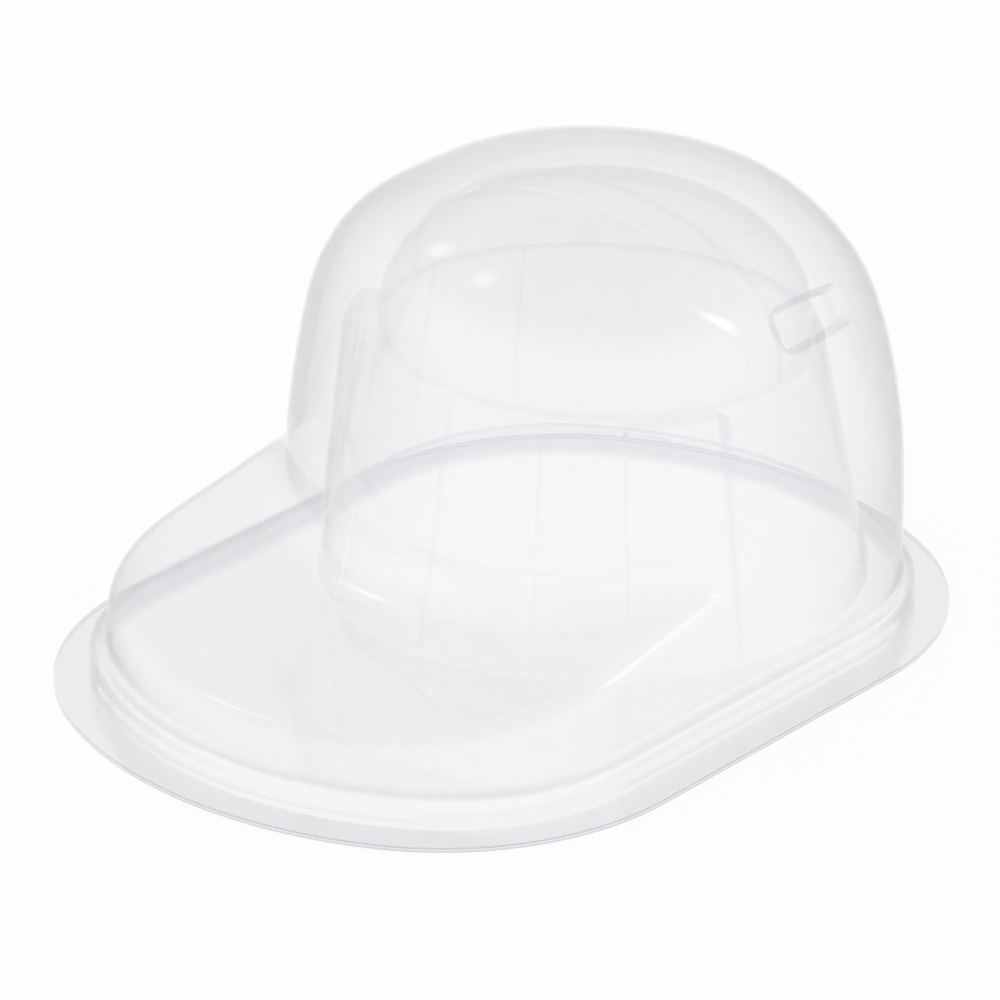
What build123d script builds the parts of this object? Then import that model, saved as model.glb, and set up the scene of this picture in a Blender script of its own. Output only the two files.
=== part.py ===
"""Clear moulded display case for a peaked cap: a tray with a hollow head former and a lift-off cover."""
from math import atan2, cos, degrees, pi, radians, sin, sqrt, tan
import os

from build123d import *

# All sizes in millimetres. The case stands on Z = 0 with the peak end towards -Y and the
# crown end towards +Y. The origin is under the middle of the rim. Each shell is one moulded
# sheet, so it is drawn as a form(0) with the same form taken away one sheet further in.

# Sheet and fits
sheet = 0.7
plug_gap = 0.9
ledge_gap = 0.3

# Plan outline, measured along the ledge line
ledge_half_width = 97.7
ledge_half_length = 135.5
ledge_end_radius = 119.0
ledge_corner_radius = 70.5
ledge_height = 11.5
ledge_round = 1.6
skirt_draft = 3.0
flange_reach = 11.2
flange_end_radius = 136.0
flange_corner_radius = 86.4
seat_gap = 0.3

# Cover, crown end
crown_axis_y = 37.9
crown_setback = 3.7
crown_height = 149.4
crown_wall_height = 44.7
crown_wall_lean = 0.4
crown_flank_radius = 202.0
crown_flank_lean = 16.0
crown_shoulder_radius = 60.6
crown_top_forward = 28.8
crown_top_stretch = 0.55
crown_top_power = 4
crown_plan_points = 32

# Cover, peak end
peak_setback = 5.2
peak_wall_lean = 3.5
peak_roof_bend_y = -87.0
peak_roof_bend_height = 32.7
peak_roof_bend_round = 30.0
peak_roof_rise = 9.0
peak_roof_fall = 12.0
peak_edge_round = 8.0
peak_blend = 14.0
foot_blend = 1.8

# Thumb recess in the +X side of the crown
recess_length = 37.0
recess_height = 16.0
recess_corner = 5.0
recess_depth = 4.0
recess_draft = 32.0
recess_reach = 7.0
recess_y = 52.5
recess_lean = 32.0

# Snap beads round the skirt
bead_radius = 2.4
bead_proud = 1.3
bead_height = 5.4
bead_front_half_width = 64.0
bead_side_front = -60.0
bead_side_turn = 16.0
tray_bead_proud = 0.75

# Head former
former_y = 42.0
former_foot_radius = 86.5
former_shoulder_radius = 71.0
former_shoulder_height = 90.7
former_shoulder_lean = 2.5
former_rim_round = 2.5
former_foot_blend = 2.5
dome_foot_radius = 67.3
dome_spring_height = 97.7
dome_top = 135.7
band_width = 15.6
band_proud = 1.8
groove_width = 3.4
groove_depth = 1.4

# Raised wall panels of the former: start and end angle from the front, how far they stand
# out at the foot and at the shoulder
former_panels = (
    (27.0, 48.0, 0.5, 1.4),
    (47.0, 72.0, 0.8, 7.5),
    (95.0, 122.0, 0.5, 1.4),
    (149.0, 180.5, 0.5, 1.4),
)

# Sizes that follow
tray_top = ledge_height - sheet - ledge_gap
former_taper = (former_foot_radius - former_shoulder_radius) / (former_shoulder_height - tray_top)
plug_offset = -(sheet + plug_gap)
cover_seat = sheet + seat_gap
ledge_shape = (ledge_half_width, ledge_half_length, ledge_end_radius, ledge_corner_radius)
flange_shape = (ledge_half_width + flange_reach, ledge_half_length + flange_reach,
                flange_end_radius, flange_corner_radius)

# Drawing aids: how far cutting shapes run below the table, a length longer than the case,
# how far apart two things may lie and still count as touching, and steps along the crown's profile
below = -20.0
over_all = 400.0
touching = 0.01
wall_steps = 4
flank_steps = 3
shoulder_steps = 5
top_steps = 4


def outline(offset, shape=ledge_shape):
    """Arc centres and joining points of a plan outline, drawn parallel to the ledge line or the flange."""
    half_width, half_length, end_radius, corner_radius = (size + offset for size in shape)
    corner_x = half_width - corner_radius
    end_y = half_length - end_radius
    corner_y = end_y + sqrt((end_radius - corner_radius) ** 2 - corner_x ** 2)
    turn = atan2(corner_x, corner_y - end_y)
    return half_width, half_length, end_radius, corner_radius, corner_x, corner_y, end_y, turn


def oval(offset, height, shape=ledge_shape):
    """Level face inside a plan outline: an arc at each end, four corner arcs, two straight sides."""
    half_width, half_length, end_radius, corner_radius, corner_x, corner_y, end_y, turn = outline(offset, shape)
    join_x = end_radius * sin(turn)
    join_y = end_y + end_radius * cos(turn)
    middle = (pi / 2 - turn) / 2
    middle_x = corner_x + corner_radius * cos(middle)
    middle_y = corner_y + corner_radius * sin(middle)
    edges = []
    for side in (1, -1):
        edges.append(ThreePointArc((-join_x, side * join_y, height), (0, side * half_length, height),
                                   (join_x, side * join_y, height)))
        edges.append(Line((side * half_width, -corner_y, height), (side * half_width, corner_y, height)))
        for end in (1, -1):
            edges.append(ThreePointArc((side * join_x, end * join_y, height),
                                       (side * middle_x, end * middle_y, height),
                                       (side * half_width, end * corner_y, height)))
    return Face(Wire(edges))


def leaning_wall(offset, height, lean, bottom, top):
    """Solid whose wall passes through the outline at one height and leans in by an angle."""
    rise = tan(radians(lean))
    return loft([oval(offset + (height - bottom) * rise, bottom),
                 oval(offset - (top - height) * rise, top)], ruled=True)


def flange(bottom):
    """Flat flange, one sheet thick."""
    return extrude(oval(0, bottom, flange_shape), amount=sheet, dir=(0, 0, 1))


def crown_reach(angle):
    """Distance from the crown's axis to its foot line. The front half is round and the back half
    follows the plan outline."""
    half_width, _, end_radius, corner_radius, corner_x, corner_y, end_y, turn = outline(-crown_setback)
    if sin(angle) <= 0:
        return half_width
    across = abs(cos(angle))
    along = sin(angle)
    if half_width * along <= (corner_y - crown_axis_y) * across:
        return half_width / across
    join_x = end_radius * sin(turn)
    join_y = end_y + end_radius * cos(turn) - crown_axis_y
    if along * join_x < join_y * across:
        centre_x, centre_y, radius = corner_x, corner_y - crown_axis_y, corner_radius
    else:
        centre_x, centre_y, radius = 0.0, end_y - crown_axis_y, end_radius
    toward = centre_x * across + centre_y * along
    return toward + sqrt(toward ** 2 - centre_x ** 2 - centre_y ** 2 + radius ** 2)


def crown_rise(height):
    """0 at the top of the crown's straight wall and 1 at its highest point, growing late."""
    share = max(0, height - crown_wall_height) / (crown_height - crown_wall_height)
    return share ** crown_top_power


def crown_section(half_width, height, drop):
    """Level face through the crown: the foot line scaled to a half width. Higher up it moves forward
    and its back half grows longer, so the crown is steep in front and falls gently to the back. It lies
    lower than the height that sets its shape by the drop."""
    scale = half_width / (ledge_half_width - crown_setback)
    centre_y = crown_axis_y - crown_top_forward * crown_rise(height)
    stretch = 1 + crown_top_stretch * crown_rise(height)
    points = []
    for step in range(crown_plan_points):
        angle = 2 * pi * step / crown_plan_points - pi / 2
        reach = scale * crown_reach(angle)
        along = reach * sin(angle)
        points.append((reach * cos(angle), centre_y + along * (stretch if along > 0 else 1), height - drop))
    return Face(Wire([Spline(points, periodic=True)]))


def shoulder_centre():
    """Centre of the crown's shoulder arc, which carries on from the top of the flank arc."""
    lean = radians(crown_wall_lean)
    flank_lean = radians(crown_flank_lean)
    wall_top = ledge_half_width - crown_setback - (crown_wall_height - ledge_height) * tan(lean)
    centre_x = wall_top - crown_flank_radius * cos(lean)
    centre_x = centre_x + (crown_flank_radius - crown_shoulder_radius) * cos(flank_lean)
    centre_z = crown_wall_height - crown_flank_radius * sin(lean)
    centre_z = centre_z + (crown_flank_radius - crown_shoulder_radius) * sin(flank_lean)
    return centre_x, centre_z


def crown_profile():
    """Half width, height and slope up the crown: straight wall, long flank arc, shoulder arc, top arc."""
    foot = ledge_half_width - crown_setback
    lean = radians(crown_wall_lean)
    flank_lean = radians(crown_flank_lean)
    wall_top = foot - (crown_wall_height - ledge_height) * tan(lean)
    centre_x, centre_z = shoulder_centre()
    stations = []
    for step in range(wall_steps):
        height = bead_height + (crown_wall_height - bead_height) * step / (wall_steps - 1)
        stations.append((foot - (height - ledge_height) * tan(lean), height, lean))
    for step in range(1, flank_steps + 1):
        slope = lean + (flank_lean - lean) * step / flank_steps
        stations.append((wall_top - crown_flank_radius * (cos(lean) - cos(slope)),
                         crown_wall_height + crown_flank_radius * (sin(slope) - sin(lean)), slope))
    rise = crown_height - centre_z
    top_radius = (rise ** 2 + centre_x ** 2 - crown_shoulder_radius ** 2) / (2 * (rise - crown_shoulder_radius))
    top_centre = crown_height - top_radius
    top_slope = atan2(centre_z - top_centre, centre_x)
    for step in range(1, shoulder_steps + 1):
        slope = flank_lean + (top_slope - flank_lean) * step / shoulder_steps
        stations.append((centre_x + crown_shoulder_radius * cos(slope),
                         centre_z + crown_shoulder_radius * sin(slope), slope))
    for step in range(1, top_steps):
        slope = top_slope + (pi / 2 - top_slope) * step / top_steps
        stations.append((top_radius * cos(slope), top_centre + top_radius * sin(slope), slope))
    return stations


def crown_form(inset):
    """The tall rounded end that covers the cap's crown."""
    sections = [crown_section(half_width - inset * cos(slope), height, inset * sin(slope))
                for half_width, height, slope in crown_profile()]
    return loft(sections + [Vertex(0, crown_axis_y - crown_top_forward, crown_height - inset)])


def peak_form(inset):
    """The low end that covers the cap's peak: leaning walls under a roof that bends down to the front."""
    walls = leaning_wall(-peak_setback - inset, ledge_height, peak_wall_lean, bead_height, crown_wall_height * 2)
    bend_height = peak_roof_bend_height - inset
    back_height = bend_height + tan(radians(peak_roof_rise)) * (crown_axis_y - peak_roof_bend_y)
    front_height = bend_height - tan(radians(peak_roof_fall)) * ledge_half_length
    side_view = make_face(Polyline((crown_axis_y, below), (crown_axis_y, back_height),
                                   (peak_roof_bend_y, bend_height),
                                   (peak_roof_bend_y - ledge_half_length, front_height),
                                   (peak_roof_bend_y - ledge_half_length, below), close=True))
    bend = side_view.vertices().sort_by_distance((peak_roof_bend_y, bend_height))[0]
    side_view = fillet(bend, peak_roof_bend_round)
    body = (walls & extrude(Plane.YZ * side_view, over_all, both=True)).solid()
    rim = [edge for face in body.faces() if face.normal_at().Z > cos(radians(2 * peak_roof_fall))
           for edge in face.edges() if abs((edge % 0.5).X) < 0.9 or edge.geom_type != GeomType.LINE]
    return fillet(rim, peak_edge_round - inset)


def recess_block(inset):
    """Drafted rounded block that marks out the thumb recess, wider towards the outside."""
    slope = radians(recess_lean)
    centre_x, centre_z = shoulder_centre()
    half_width = centre_x + crown_shoulder_radius * cos(slope)
    height = centre_z + crown_shoulder_radius * sin(slope)
    spread = tan(radians(recess_draft))
    faces = []
    for depth in (-recess_reach, recess_reach):
        grow = inset + depth * spread
        plane = Plane(origin=(half_width + depth * cos(slope), recess_y, height + depth * sin(slope)),
                      x_dir=(0, 1, 0), z_dir=(cos(slope), 0, sin(slope)))
        faces.append(plane * RectangleRounded(recess_length + 2 * grow, recess_height + 2 * grow,
                                              recess_corner + grow))
    return loft(faces, ruled=True)


def bead_path(offset, height):
    """Centre lines of the snap beads: one across the front and one along each side."""
    half_width, half_length, end_radius, corner_radius, corner_x, corner_y, end_y, turn = outline(offset)
    drop = end_radius - sqrt(end_radius ** 2 - bead_front_half_width ** 2)
    paths = [Wire([ThreePointArc((-bead_front_half_width, drop - half_length, height),
                                 (0, -half_length, height),
                                 (bead_front_half_width, drop - half_length, height))])]
    bend = radians(bead_side_turn)
    for side in (1, -1):
        straight = Line((side * half_width, bead_side_front, height), (side * half_width, corner_y, height))
        curve = ThreePointArc((side * half_width, corner_y, height),
                              (side * (corner_x + corner_radius * cos(bend / 2)),
                               corner_y + corner_radius * sin(bend / 2), height),
                              (side * (corner_x + corner_radius * cos(bend)),
                               corner_y + corner_radius * sin(bend), height))
        paths.append(Wire([straight, curve]))
    return paths


def beads(offset, inset):
    """Snap beads with a round section and ball ends."""
    radius = bead_radius - inset
    bodies = []
    for path in bead_path(offset, bead_height):
        start = path @ 0
        finish = path @ 1
        across = Plane(origin=start, z_dir=path % 0)
        bodies.append(sweep(across * Circle(radius), path=path))
        bodies.append(Pos(start) * Sphere(radius))
        bodies.append(Pos(finish) * Sphere(radius))
    return bodies


def level_edges(body, height):
    """Edges of a body that lie in one level plane."""
    return body.edges().filter_by_position(Axis.Z, height - touching, height + touching)


def cover_form(inset):
    """Outside of the cover, or its inside when drawn one sheet further in."""
    body = crown_form(inset) + peak_form(inset)
    crown_face = body.faces().sort_by(SortBy.AREA)[-1]
    crease = [edge for edge in crown_face.edges()
              if edge.center().Y < crown_axis_y and bead_height + 1 < edge.center().Z < crown_height / 2]
    body = fillet(crease, peak_blend + inset)
    ledge = ledge_height - inset
    skirt = leaning_wall(-inset, ledge_height, skirt_draft, below if inset else cover_seat, ledge)
    body = body + skirt
    wall_foot = [edge for edge in level_edges(body, ledge) if not on_ledge_line(edge, inset)]
    body = fillet(wall_foot, foot_blend + inset)
    ledge_line = [edge for edge in level_edges(body, ledge) if on_ledge_line(edge, inset)]
    body = fillet(ledge_line, ledge_round - inset)
    body = body - (recess_block(inset) - crown_form(recess_depth + inset))
    for bead in beads(bead_proud - bead_radius, inset):
        body = body + bead
    return body


def cover():
    """Lift-off cover with its flange."""
    return (cover_form(0) + flange(cover_seat) - cover_form(sheet)).solid()


def former_wall(inset, foot_proud, shoulder_proud):
    """Half section of the former's wall, from its axis out, running on above the shoulder."""
    foot_radius = former_foot_radius + foot_proud
    shoulder_radius = former_shoulder_radius + shoulder_proud
    taper = (foot_radius - shoulder_radius) / (former_shoulder_height - tray_top)
    side_inset = inset * sqrt(1 + taper ** 2)
    low_radius = foot_radius + (tray_top - below) * taper - side_inset
    high_radius = shoulder_radius - (dome_spring_height - former_shoulder_height) * taper - side_inset
    return Plane.XZ * make_face(Polyline((0, below), (low_radius, below), (high_radius, dome_spring_height),
                                         (0, dome_spring_height), close=True))


def turned(section, start, end):
    """Section turned round the former's axis between two angles measured from the front."""
    standing = Rot(0, 0, start - 90) * section
    return Pos(0, former_y, 0) * revolve(standing, Axis.Z, end - start)


def groove_form(inset):
    """Upright groove down the front of the former's wall."""
    wall = turned(former_wall(inset, 0, 0), 0, 360)
    core = turned(former_wall(inset + groove_depth, 0, 0), 0, 360)
    slot = Pos(0, former_y - former_foot_radius, over_all / 2 + tray_top - inset) * Box(
        groove_width + 2 * inset, former_foot_radius, over_all)
    return (wall - core) & slot


def walls_form(inset):
    """Wall of the former with its raised panels, cut off level with the leaning shoulder."""
    body = turned(former_wall(inset, 0, 0), 0, 360)
    edge_turn = degrees(inset / former_foot_radius)
    for start, end, foot_proud, shoulder_proud in former_panels:
        section = former_wall(inset, foot_proud, shoulder_proud)
        for first, last in ((start, end), (-end, -start)):
            body = body + turned(section, first + edge_turn, last - edge_turn)
    shoulder = Plane(origin=(0, former_y, former_shoulder_height - inset),
                     z_dir=(0, sin(radians(former_shoulder_lean)), cos(radians(former_shoulder_lean))))
    body = split(body, bisect_by=shoulder, keep=Keep.BOTTOM)
    rim = [edge for edge in body.edges() if abs(shoulder.to_local_coords(edge @ 0.5).Z) < touching]
    return fillet(rim, former_rim_round - inset)


def foot_form(inset):
    """Hollow-cheeked ring that blends the former's wall into the tray floor."""
    lean = atan2(former_taper, 1)
    middle = (lean + pi / 2) / 2
    centre_x = former_foot_radius + former_foot_blend * (1 / cos(lean) - former_taper)
    centre_z = tray_top + former_foot_blend
    radius = former_foot_blend + inset
    top_x = centre_x - radius * cos(lean)
    top_z = centre_z - radius * sin(lean)
    curve = ThreePointArc((centre_x, centre_z - radius),
                          (centre_x - radius * cos(middle), centre_z - radius * sin(middle)),
                          (top_x, top_z))
    bottom = below if inset else sheet
    sides = Polyline((top_x, top_z), (0, top_z), (0, bottom), (centre_x, bottom), (centre_x, centre_z - radius))
    return Pos(0, former_y, 0) * revolve(Plane.XZ * make_face([curve, sides]), Axis.Z, 360)


def dome_form(inset, bottom):
    """Dome of the former: an upright side and a half ellipse, turned about the axis."""
    radius = dome_foot_radius - inset
    rise = dome_top - inset - dome_spring_height
    curve = EllipticalCenterArc((0, dome_spring_height), radius, rise, 0, arc_size=90)
    sides = Polyline((0, dome_spring_height + rise), (0, bottom), (radius, bottom), (radius, dome_spring_height))
    face = make_face([curve, sides])
    return Pos(0, former_y, 0) * revolve(Plane.XZ * face, Axis.Z, 360)


def former_form(inset):
    """Outside of the head former, or its inside when drawn one sheet further in."""
    body = walls_form(inset) - groove_form(inset)
    body = body + dome_form(inset, tray_top)
    band = dome_form(inset - band_proud, former_shoulder_height - former_rim_round)
    strap = Pos(0, former_y, 0) * Box(over_all, band_width - 2 * inset, over_all)
    body = body + (band & strap)
    base = Pos(0, 0, over_all / 2 + (below if inset else sheet)) * Box(over_all, over_all, over_all)
    return (body & base).solid()


def tray_form(inset):
    """Raised floor of the tray with the former standing on it."""
    floor = tray_top - inset
    plug = leaning_wall(plug_offset - inset, ledge_height, skirt_draft, below if inset else sheet, floor)
    plug = fillet(level_edges(plug, floor), ledge_round - inset)
    body = plug + former_form(inset) + foot_form(inset)
    for bead in beads(plug_offset + tray_bead_proud - bead_radius, inset):
        body = body + bead
    return body


def tray():
    """Tray with its flange."""
    return (tray_form(0) + flange(0) - tray_form(sheet)).solid()


def on_ledge_line(edge, inset):
    """Whether a level edge is part of the outer ledge line."""
    half_width, half_length, _, _, _, corner_y, _, _ = outline(-inset)
    middle = edge @ 0.5
    if abs(middle.Y) < corner_y:
        return abs(middle.X) > half_width - 1
    spot = outline_reach(middle, -inset)
    return spot > -1


def outline_reach(point, offset):
    """How far a point lies outside the plan outline at one of its ends, negative inside."""
    _, _, end_radius, corner_radius, corner_x, corner_y, end_y, turn = outline(offset)
    x = abs(point.X)
    y = abs(point.Y)
    if atan2(x, y - end_y) < turn:
        return sqrt(x ** 2 + (y - end_y) ** 2) - end_radius
    return sqrt((x - corner_x) ** 2 + (y - corner_y) ** 2) - corner_radius


if __name__ == "__main__":
    os.makedirs("parts", exist_ok=True)
    export_step(cover(), "parts/cover.step")
    export_step(tray(), "parts/tray.step")
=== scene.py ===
"""Looks for the clear cap display case: sheet finishes, studio stage and camera."""

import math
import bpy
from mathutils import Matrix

bl_info = {
    "name": "Cap display case looks",
    "version": (1, 0, 0),
    "blender": (4, 5, 0),
    "location": "View3D > Sidebar > Cap Case",
    "description": "Clear moulded sheet finishes, pale studio stage and camera for the cap display case",
    "category": "Object",
}

import bpy
from mathutils import Vector

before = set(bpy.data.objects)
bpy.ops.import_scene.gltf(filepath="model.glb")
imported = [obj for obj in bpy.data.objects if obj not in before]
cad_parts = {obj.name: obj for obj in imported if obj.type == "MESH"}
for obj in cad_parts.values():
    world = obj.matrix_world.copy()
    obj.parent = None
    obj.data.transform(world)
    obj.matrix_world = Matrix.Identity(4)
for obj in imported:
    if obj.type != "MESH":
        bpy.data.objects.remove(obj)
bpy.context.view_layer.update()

# Sockets of a Mix node that mixes colours, which only their numbers tell apart
MIX_A, MIX_B, MIX_RESULT = 6, 7, 2

# Where the two sheets read the patterns, so that they don't show the same waves
COVER_SHIFT = (0.0, 0.0, 0.0)
TRAY_SHIFT = (3.1, 1.55, 0.0)

# Noise values that nearly all of the sheet lies between
PATCH_DULL, PATCH_GLOSSY = 0.7, 0.35

# Power by which a clear surface turns into a mirror as it tilts away
MIRROR_POWER = 5.0

# Most that a trimmed edge leans from upright and still takes the painted edge shade. The skirts lean
# more, by their draft
CUT_SHADE_UPRIGHT_LIMIT = 0.02

# Real paper fibres are finer. This is as coarse as the floor's grain needs to be to show
FIBRE_SIZE = 0.0025
FIBRE_DEPTH = 0.0002

# Middles of the square lamp and of the strip lamp, in metres
LEFT_LAMP_PLACE = (-1.32, -0.13, 1.76)
BACK_LAMP_PLACE = (1.39, 1.03, 1.36)

# Point that the camera looks at, and the direction from there back to the camera
CAMERA_TARGET = (-0.00815, 0.00660, 0.04139)
CAMERA_BACK = (0.5880, -0.6820, 0.4349)
SENSOR_WIDTH = 36.0

# Enough for light to pass every surface of both sheets, there and back
SHEET_BOUNCES = 24
MIRROR_BOUNCES = 6


# ---------------------------------------------------------------- helpers

def linear(hex_colour):
    """Linear RGBA of an sRGB hex colour such as 'f2f5f7'."""
    channels = []
    for start in (0, 2, 4):
        value = int(hex_colour[start:start + 2], 16) / 255
        channels.append(value / 12.92 if value <= 0.04045 else ((value + 0.055) / 1.055) ** 2.4)
    return (*channels, 1.0)


def add_node(tree, kind, place, inputs=None, **settings):
    """Adds one node, sets its properties, and fills or links its inputs by name or number."""
    node = tree.nodes.new(kind)
    node.location = place
    for name, value in settings.items():
        setattr(node, name, value)
    for key, value in (inputs or {}).items():
        if isinstance(value, bpy.types.NodeSocket):
            tree.links.new(value, node.inputs[key])
        else:
            node.inputs[key].default_value = value
    return node


def fresh_material(name):
    """A material with no nodes but its output, with its node tree and that output."""
    material = bpy.data.materials.new(name)
    material.use_nodes = True
    material.node_tree.nodes.clear()
    output = add_node(material.node_tree, "ShaderNodeOutputMaterial", (900, 0))
    return material, material.node_tree, output


def one_skin(stack_tint, skins=8):
    """Tint of one surface, from the tint of light that has passed every surface of the case."""
    return tuple(channel ** (1 / skins) for channel in stack_tint)


def dress(node_name, material):
    """Puts one material in every slot of a CAD node."""
    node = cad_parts.get(node_name)
    if node is None:
        raise RuntimeError(f"the frame has no node {node_name}")
    if not node.material_slots:
        node.data.materials.append(material)
    for slot in node.material_slots:
        slot.material = material


# ---------------------------------------------------------------- settings

class CapCaseSheet(bpy.types.PropertyGroup):
    """Finish of the clear moulded sheet, with painted shade on its edge-on rims and its trimmed edges.
    """
    face_tint: bpy.props.FloatVectorProperty(
        name="Face-on tint",
        description="Colour that light keeps when it passes straight through the case",
        subtype="COLOR", size=4, min=0.0, max=1.0, default=linear("f3f4f6"))
    # Partly the real cast of a longer path through the sheet, mostly painted shade: this grazing tint
    # darkens the cover's edge-on rims far more than its thin sheet does
    cover_edge_cast_and_shade: bpy.props.FloatVectorProperty(
        name="Cover's grazing tint",
        description="Colour that light keeps when it passes the cover at a shallow angle",
        subtype="COLOR", size=4, min=0.0, max=1.0, default=linear("484c50"))
    # Partly real cast, partly painted shade on the tray's rims where it turns edge on
    tray_edge_cast_and_shade: bpy.props.FloatVectorProperty(
        name="Tray's grazing tint",
        description="The same for the tray, whose sheet is drawn out thinner",
        subtype="COLOR", size=4, min=0.0, max=1.0, default=linear("a0a4a9"))
    index: bpy.props.FloatProperty(
        name="Refractive index", description="Refractive index of the PET sheet",
        default=1.57, min=1.3, max=1.8)
    gloss_low: bpy.props.FloatProperty(
        name="Lowest roughness", description="Roughness of the glossiest spots",
        default=0.02, min=0.0, max=0.3)
    gloss_high: bpy.props.FloatProperty(
        name="Highest roughness", description="Roughness of the dullest spots",
        default=0.05, min=0.0, max=0.3)
    patch_size: bpy.props.FloatProperty(
        name="Patch size", description="Distance between spots that handling has made duller",
        default=0.006, min=0.001, unit="LENGTH")
    wave_size: bpy.props.FloatProperty(
        name="Wave size",
        description="Distance between the soft waves that forming leaves in the sheet",
        default=0.024, min=0.002, unit="LENGTH")
    wave_depth: bpy.props.FloatProperty(
        name="Wave depth", description="Depth of the soft waves that forming leaves in the sheet",
        default=0.000012, min=0.0, unit="LENGTH")
    # Curve by which the cast and the painted rim shade set in as the sheet turns edge on
    cast_and_shade_power: bpy.props.FloatProperty(
        name="Cast curve", description="How late the cast sets in as the sheet turns edge on",
        default=3.5, min=0.5, max=8.0)
    # Painted shade on the flanges' trimmed edges, given as a darker tint
    cut_edge_shade: bpy.props.FloatVectorProperty(
        name="Cut edge tint",
        description="Colour that light keeps as it crosses one face of a trimmed flange edge",
        subtype="COLOR", size=4, min=0.0, max=1.0, default=linear("dee0e3"))
    # Height of the mask for the painted edge shade
    cut_shade_height: bpy.props.FloatProperty(
        name="Cut edge height",
        description="Height up to which upright faces are the flanges' trimmed edges",
        default=0.0018, min=0.0, unit="LENGTH")
    shadow_tint: bpy.props.FloatVectorProperty(
        name="Shadow tint", description="Share of a lamp's light that passes one surface of the sheet",
        subtype="COLOR", size=4, min=0.0, max=1.0, default=linear("f4f5f6"))


class CapCaseStage(bpy.types.PropertyGroup):
    """Floor, lamps, world and camera."""
    floor_colour: bpy.props.FloatVectorProperty(
        name="Floor colour", description="Colour of the plain floor", subtype="COLOR", size=4,
        min=0.0, max=1.0, default=linear("f6f6f6"))
    floor_size: bpy.props.FloatProperty(
        name="Floor size", description="Side of the square floor", default=12.0, min=1.0, unit="LENGTH")
    floor_gap: bpy.props.FloatProperty(
        name="Floor gap",
        description="How far the floor lies under the case, so that the two faces don't merge",
        default=0.0003, min=0.0, unit="LENGTH")
    white_share: bpy.props.FloatProperty(
        name="White share",
        description="Share of the floor's look that stays plain white under the shadow",
        default=0.92, min=0.0, max=1.0, subtype="FACTOR")
    soft_light: bpy.props.FloatProperty(
        name="Soft light", description="Strength of the even light from all round",
        default=0.9, min=0.0)
    sweep_start: bpy.props.FloatProperty(
        name="Sweep start",
        description="Height over the horizon up to which the backdrop is plain white",
        default=math.radians(20), min=0.0, subtype="ANGLE")
    sweep_end: bpy.props.FloatProperty(
        name="Sweep end", description="Height over the horizon from which the studio is darkest",
        default=math.radians(85), min=0.0, subtype="ANGLE")
    overhead: bpy.props.FloatProperty(
        name="Overhead", description="Brightness of the studio overhead, as the sheet mirrors it",
        default=0.58, min=0.0, max=1.0)
    lamp_brightness: bpy.props.FloatProperty(
        name="Lamp brightness",
        description="Brightness of each lamp's middle, where white paper is 1",
        default=1.2, min=0.0)
    lamp_width: bpy.props.FloatProperty(
        name="Lamp width", description="Side of the square lamp", default=0.6, min=0.1, unit="LENGTH")
    strip_width: bpy.props.FloatProperty(
        name="Strip width", description="Width of the upright strip lamp",
        default=0.35, min=0.05, unit="LENGTH")
    strip_height: bpy.props.FloatProperty(
        name="Strip height", description="Height of the upright strip lamp",
        default=1.2, min=0.1, unit="LENGTH")
    camera_distance: bpy.props.FloatProperty(
        name="Camera distance", description="Distance from the camera to the case",
        default=2.3145, min=0.3, unit="LENGTH")
    lens: bpy.props.FloatProperty(
        name="Lens", description="Focal length in millimetres on a 36 mm sensor",
        default=268.65, min=10.0)


# ---------------------------------------------------------------- materials

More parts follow.
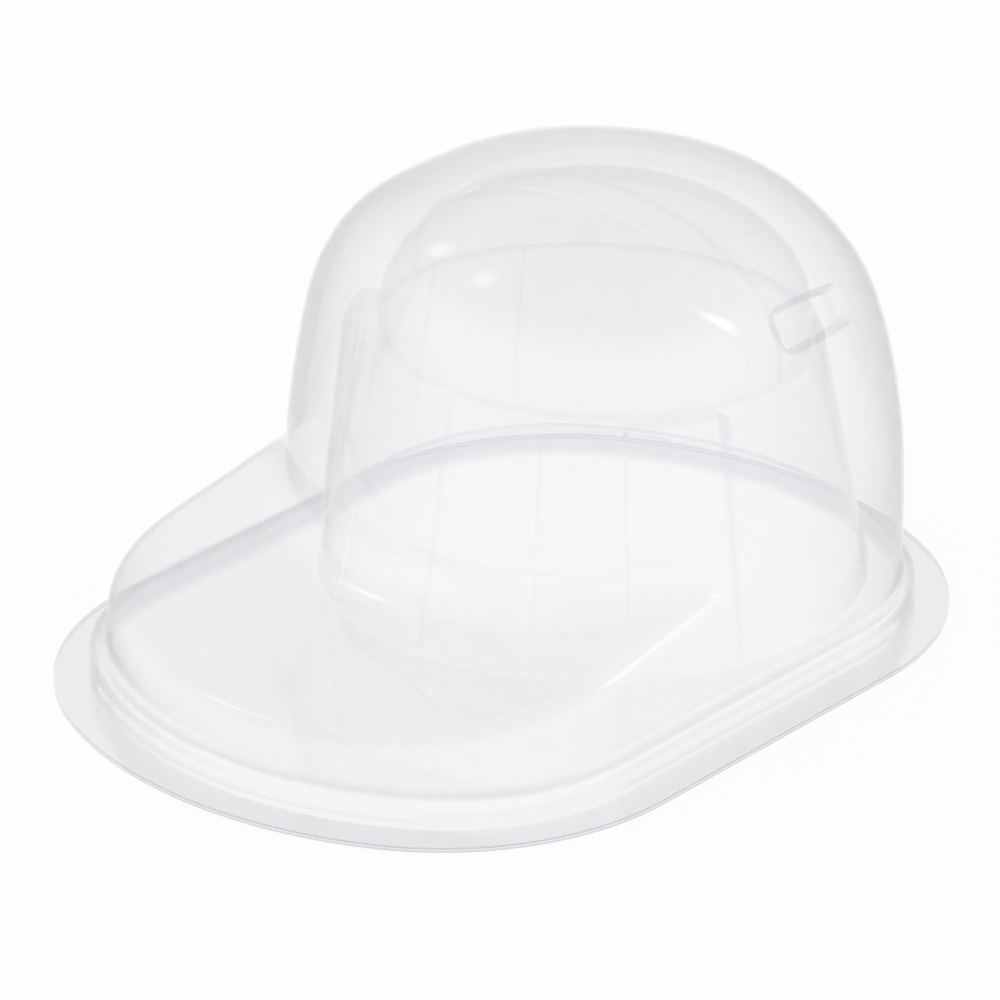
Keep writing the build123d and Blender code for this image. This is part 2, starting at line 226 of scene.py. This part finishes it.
def clear_sheet(name, sheet, edge_cast_and_shade, pattern_shift):
    """Clear moulded PET sheet, too thin to bend light: it tints, mirrors and waves a little, with
    painted shade on its edge-on rims and trimmed flange edges.
    """
    material, tree, output = fresh_material(name)
    place = add_node(tree, "ShaderNodeTexCoord", (-1300, 0)).outputs["Object"]
    shifted = add_node(tree, "ShaderNodeMapping", (-1100, 0),
                       {"Vector": place, "Location": pattern_shift}).outputs[0]
    # Soft waves a couple of centimetres apart, as a sheet drawn over a tool keeps them
    waves = add_node(tree, "ShaderNodeTexNoise", (-900, -260),
                     {"Vector": shifted, "Scale": 1 / sheet.wave_size,
                      "Detail": 1.5, "Roughness": 0.4})
    bump = add_node(tree, "ShaderNodeBump", (-460, -260),
                    {"Height": waves.outputs[0], "Strength": 1.0,
                     "Distance": sheet.wave_depth})
    # Handling dulls the gloss in faint patches a few millimetres wide
    patches = add_node(tree, "ShaderNodeTexNoise", (-900, 40),
                       {"Vector": shifted, "Scale": 1 / sheet.patch_size,
                        "Detail": 3.0, "Roughness": 0.6})
    gloss = add_node(tree, "ShaderNodeMapRange", (-460, 40),
                     {"Value": patches.outputs[0],
                      "From Min": PATCH_GLOSSY, "From Max": PATCH_DULL,
                      "To Min": sheet.gloss_low, "To Max": sheet.gloss_high})
    # At a shallow angle light runs through more of the sheet, so the cast deepens there. Beyond that
    # real cast, the grazing tints paint shade on the rims where the sheet turns edge on
    facing = add_node(tree, "ShaderNodeLayerWeight", (-900, 320),
                      {"Blend": 0.5, "Normal": bump.outputs[0]})
    cast_and_shade_slant = add_node(tree, "ShaderNodeMath", (-700, 320),
                     {0: facing.outputs["Facing"], 1: sheet.cast_and_shade_power}, operation="POWER")
    cast = add_node(tree, "ShaderNodeMix", (-460, 320),
                    {"Factor": cast_and_shade_slant.outputs[0], MIX_A: one_skin(sheet.face_tint),
                     MIX_B: one_skin(edge_cast_and_shade)}, data_type="RGBA")
    # Painted shade: the flanges' trimmed edges trap light and show as thin darker lines, so low upright
    # faces get a darker tint
    level = add_node(tree, "ShaderNodeSeparateXYZ", (-900, 820), {0: place}).outputs["Z"]
    low = add_node(tree, "ShaderNodeMath", (-700, 820),
                   {0: level, 1: sheet.cut_shade_height}, operation="LESS_THAN")
    turned = add_node(tree, "ShaderNodeNewGeometry", (-1300, 1000)).outputs["True Normal"]
    tilt = add_node(tree, "ShaderNodeSeparateXYZ", (-1100, 1000), {0: turned}).outputs["Z"]
    lean = add_node(tree, "ShaderNodeMath", (-900, 1000), {0: tilt}, operation="ABSOLUTE")
    upright = add_node(tree, "ShaderNodeMath", (-700, 1000),
                       {0: lean.outputs[0], 1: CUT_SHADE_UPRIGHT_LIMIT}, operation="LESS_THAN")
    cut_shade_mask = add_node(tree, "ShaderNodeMath", (-460, 820),
                   {0: low.outputs[0], 1: upright.outputs[0]}, operation="MULTIPLY")
    tint = add_node(tree, "ShaderNodeMix", (-240, 320),
                    {"Factor": cut_shade_mask.outputs[0], MIX_A: cast.outputs[MIX_RESULT],
                     MIX_B: tuple(sheet.cut_edge_shade)}, data_type="RGBA")
    passed = add_node(tree, "ShaderNodeBsdfTransparent", (0, 200), {"Color": tint.outputs[MIX_RESULT]})
    mirror = add_node(tree, "ShaderNodeBsdfGlossy", (0, 0),
                      {"Color": (1, 1, 1, 1), "Roughness": gloss.outputs[0],
                       "Normal": bump.outputs[0]})
    # Share that the surface mirrors: least when met head on, all of it at a shallow angle
    steep = add_node(tree, "ShaderNodeMath", (-700, 560),
                     {0: facing.outputs["Facing"], 1: MIRROR_POWER}, operation="POWER")
    least = ((sheet.index - 1) / (sheet.index + 1)) ** 2
    share = add_node(tree, "ShaderNodeMapRange", (-460, 560),
                     {"Value": steep.outputs[0], "To Min": least})
    skin = add_node(tree, "ShaderNodeMixShader", (300, 100),
                    {0: share.outputs[0], 1: passed.outputs[0], 2: mirror.outputs[0]})
    # Lamps shine through the sheet, so its shadow is faint
    through = add_node(tree, "ShaderNodeBsdfTransparent", (300, -200),
                       {"Color": tuple(sheet.shadow_tint)})
    path = add_node(tree, "ShaderNodeLightPath", (300, 400))
    passing = add_node(tree, "ShaderNodeMath", (480, 300),
                       {0: path.outputs["Is Shadow Ray"], 1: path.outputs["Is Diffuse Ray"]},
                       operation="MAXIMUM")
    mixed = add_node(tree, "ShaderNodeMixShader", (680, 0),
                     {0: passing.outputs[0], 1: skin.outputs[0], 2: through.outputs[0]})
    tree.links.new(mixed.outputs[0], output.inputs["Surface"])
    return material


# ---------------------------------------------------------------- pieces

class CAPCASE_OT_cover(bpy.types.Operator):
    """Gives the lift-off cover its clear moulded sheet"""
    bl_idname = "capcase.cover"
    bl_label = "Dress cover"

    def execute(self, context):
        sheet = context.scene.capcase_sheet
        dress("cover", clear_sheet("Clear moulded PET sheet, cover", sheet,
                                   sheet.cover_edge_cast_and_shade, COVER_SHIFT))
        return {"FINISHED"}


class CAPCASE_OT_tray(bpy.types.Operator):
    """Gives the tray and its head former their clear moulded sheet"""
    bl_idname = "capcase.tray"
    bl_label = "Dress tray"

    def execute(self, context):
        sheet = context.scene.capcase_sheet
        dress("tray", clear_sheet("Clear moulded PET sheet, tray", sheet,
                                  sheet.tray_edge_cast_and_shade, TRAY_SHIFT))
        return {"FINISHED"}


# ---------------------------------------------------------------- stage

def white_to_eye(tree, place):
    """Socket that is 1 for what the camera sees, straight or mirrored, and 0 for light on things."""
    path = add_node(tree, "ShaderNodeLightPath", place)
    seen = add_node(tree, "ShaderNodeMath", (place[0] + 200, place[1]),
                    {0: path.outputs["Is Camera Ray"], 1: path.outputs["Is Glossy Ray"]},
                    operation="MAXIMUM")
    either = add_node(tree, "ShaderNodeMath", (place[0] + 400, place[1]),
                      {0: seen.outputs[0], 1: path.outputs["Is Transmission Ray"]},
                      operation="MAXIMUM")
    return either.outputs[0]


def lay_floor(stage):
    """Plain pale floor under the case."""
    # Matt paper scatters light evenly, so the floor stays plain and takes a soft shadow
    material, tree, output = fresh_material("Matt white studio paper")
    place = add_node(tree, "ShaderNodeTexCoord", (-900, 0)).outputs["Object"]
    fibre = add_node(tree, "ShaderNodeTexNoise", (-700, -200),
                     {"Vector": place, "Scale": 1 / FIBRE_SIZE, "Detail": 2.0})
    grain = add_node(tree, "ShaderNodeBump", (-400, -200),
                     {"Height": fibre.outputs[0], "Strength": 0.1, "Distance": FIBRE_DEPTH})
    paper = add_node(tree, "ShaderNodeBsdfPrincipled", (0, 0),
                     {"Base Color": tuple(stage.floor_colour), "Roughness": 0.9,
                      "Specular IOR Level": 0.1, "Normal": grain.outputs[0]})
    glow = add_node(tree, "ShaderNodeEmission", (0, -400), {"Color": (1, 1, 1, 1), "Strength": 1.0})
    share = add_node(tree, "ShaderNodeMath", (300, 300),
                     {0: white_to_eye(tree, (-400, 300)), 1: stage.white_share}, operation="MULTIPLY")
    mixed = add_node(tree, "ShaderNodeMixShader", (600, 0),
                     {0: share.outputs[0], 1: paper.outputs[0], 2: glow.outputs[0]})
    tree.links.new(mixed.outputs[0], output.inputs["Surface"])
    bpy.ops.mesh.primitive_plane_add(size=stage.floor_size, location=(0, 0, -stage.floor_gap))
    floor = bpy.context.active_object
    floor.name = "floor"
    floor.data.materials.append(material)


def light_world(stage):
    """Even soft light all round, seen as a white sweep that gives way to a darker studio overhead."""
    world = bpy.data.worlds.new("Studio")
    bpy.context.scene.world = world
    world.use_nodes = True
    tree = world.node_tree
    tree.nodes.clear()
    soft = add_node(tree, "ShaderNodeBackground", (0, 0),
                    {"Color": (1, 1, 1, 1), "Strength": stage.soft_light})
    heading = add_node(tree, "ShaderNodeTexCoord", (-900, -300)).outputs["Generated"]
    height = add_node(tree, "ShaderNodeSeparateXYZ", (-700, -300), {0: heading}).outputs["Z"]
    sweep = add_node(tree, "ShaderNodeMapRange", (-500, -300),
                     {"Value": height, "From Min": math.sin(stage.sweep_end),
                      "From Max": math.sin(stage.sweep_start), "To Min": stage.overhead, "To Max": 1.0},
                     interpolation_type="SMOOTHSTEP")
    seen = add_node(tree, "ShaderNodeBackground", (0, -200),
                    {"Color": (1, 1, 1, 1), "Strength": sweep.outputs[0]})
    mixed = add_node(tree, "ShaderNodeMixShader", (300, 0),
                     {0: white_to_eye(tree, (-600, 300)), 1: soft.outputs[0], 2: seen.outputs[0]})
    output = add_node(tree, "ShaderNodeOutputWorld", (500, 0))
    tree.links.new(mixed.outputs[0], output.inputs["Surface"])


def hang_lamp(name, place, brightness, width, height):
    """One soft oblong lamp that faces the case and fades out towards its rim."""
    data = bpy.data.lights.new(name, "AREA")
    data.shape = "RECTANGLE"
    data.size = width
    data.size_y = height
    data.energy = brightness * math.pi * width * height
    data.use_nodes = True
    tree = data.node_tree
    tree.nodes.clear()
    # The lamp fades out from its middle, as a diffuser cloth does
    spot = add_node(tree, "ShaderNodeNewGeometry", (-900, 0)).outputs["Parametric"]
    offset = add_node(tree, "ShaderNodeVectorMath", (-700, 0),
                      {0: spot, 1: (0.5, 0.5, 0)}, operation="SUBTRACT")
    reach = add_node(tree, "ShaderNodeVectorMath", (-500, 0), {0: offset.outputs[0]}, operation="LENGTH")
    fade = add_node(tree, "ShaderNodeMapRange", (-300, 0),
                    {"Value": reach.outputs["Value"], "From Min": 0.5, "From Max": 0.0},
                    interpolation_type="SMOOTHSTEP")
    glow = add_node(tree, "ShaderNodeEmission", (-100, 0), {"Strength": fade.outputs[0]})
    output = add_node(tree, "ShaderNodeOutputLight", (100, 0))
    tree.links.new(glow.outputs[0], output.inputs["Surface"])
    lamp = bpy.data.objects.new(name, data)
    bpy.context.scene.collection.objects.link(lamp)
    lamp.location = place
    lamp.rotation_euler = (-Vector(place)).to_track_quat("-Z", "Y").to_euler()


def set_camera(stage):
    """Camera to the right of the peak end, a little above the case."""
    data = bpy.data.cameras.new("Camera")
    data.lens = stage.lens
    data.sensor_width = SENSOR_WIDTH
    camera = bpy.data.objects.new("Camera", data)
    bpy.context.scene.collection.objects.link(camera)
    back = Vector(CAMERA_BACK).normalized()
    camera.location = Vector(CAMERA_TARGET) + back * stage.camera_distance
    camera.rotation_euler = back.to_track_quat("Z", "Y").to_euler()
    bpy.context.scene.camera = camera


class CAPCASE_OT_stage(bpy.types.Operator):
    """Sets the floor, the soft lamps, the world and the camera"""
    bl_idname = "capcase.stage"
    bl_label = "Set stage"

    def execute(self, context):
        stage = context.scene.capcase_stage
        lay_floor(stage)
        light_world(stage)
        hang_lamp("lamp_left", LEFT_LAMP_PLACE, stage.lamp_brightness,
                  stage.lamp_width, stage.lamp_width)
        hang_lamp("lamp_back", BACK_LAMP_PLACE, stage.lamp_brightness,
                  stage.strip_width, stage.strip_height)
        set_camera(stage)
        scene = context.scene
        scene.view_settings.view_transform = "Standard"
        scene.cycles.max_bounces = SHEET_BOUNCES
        scene.cycles.transmission_bounces = SHEET_BOUNCES
        scene.cycles.transparent_max_bounces = SHEET_BOUNCES
        scene.cycles.glossy_bounces = MIRROR_BOUNCES
        return {"FINISHED"}


class CAPCASE_PT_panel(bpy.types.Panel):
    """Lists the case's pieces and their settings"""
    bl_label = "Cap display case"
    bl_idname = "CAPCASE_PT_panel"
    bl_space_type = "VIEW_3D"
    bl_region_type = "UI"
    bl_category = "Cap Case"

    def draw(self, context):
        for operator in OPERATORS:
            self.layout.operator(operator.bl_idname)
        for group in (context.scene.capcase_sheet, context.scene.capcase_stage):
            for name in group.__annotations__:
                self.layout.prop(group, name)


GROUPS = (CapCaseSheet, CapCaseStage)
OPERATORS = (CAPCASE_OT_cover, CAPCASE_OT_tray, CAPCASE_OT_stage)
CLASSES = (*GROUPS, *OPERATORS, CAPCASE_PT_panel)


def register():
    """Adds the settings, the operators and the panel."""
    for cls in CLASSES:
        bpy.utils.register_class(cls)
    bpy.types.Scene.capcase_sheet = bpy.props.PointerProperty(type=CapCaseSheet)
    bpy.types.Scene.capcase_stage = bpy.props.PointerProperty(type=CapCaseStage)


def unregister():
    """Takes the settings, the operators and the panel away."""
    del bpy.types.Scene.capcase_stage
    del bpy.types.Scene.capcase_sheet
    for cls in reversed(CLASSES):
        bpy.utils.unregister_class(cls)


def main():
    """Builds the dressed case on its stage."""
    register()
    bpy.ops.capcase.cover()
    bpy.ops.capcase.tray()
    bpy.ops.capcase.stage()


if __name__ == "__main__":
    main()
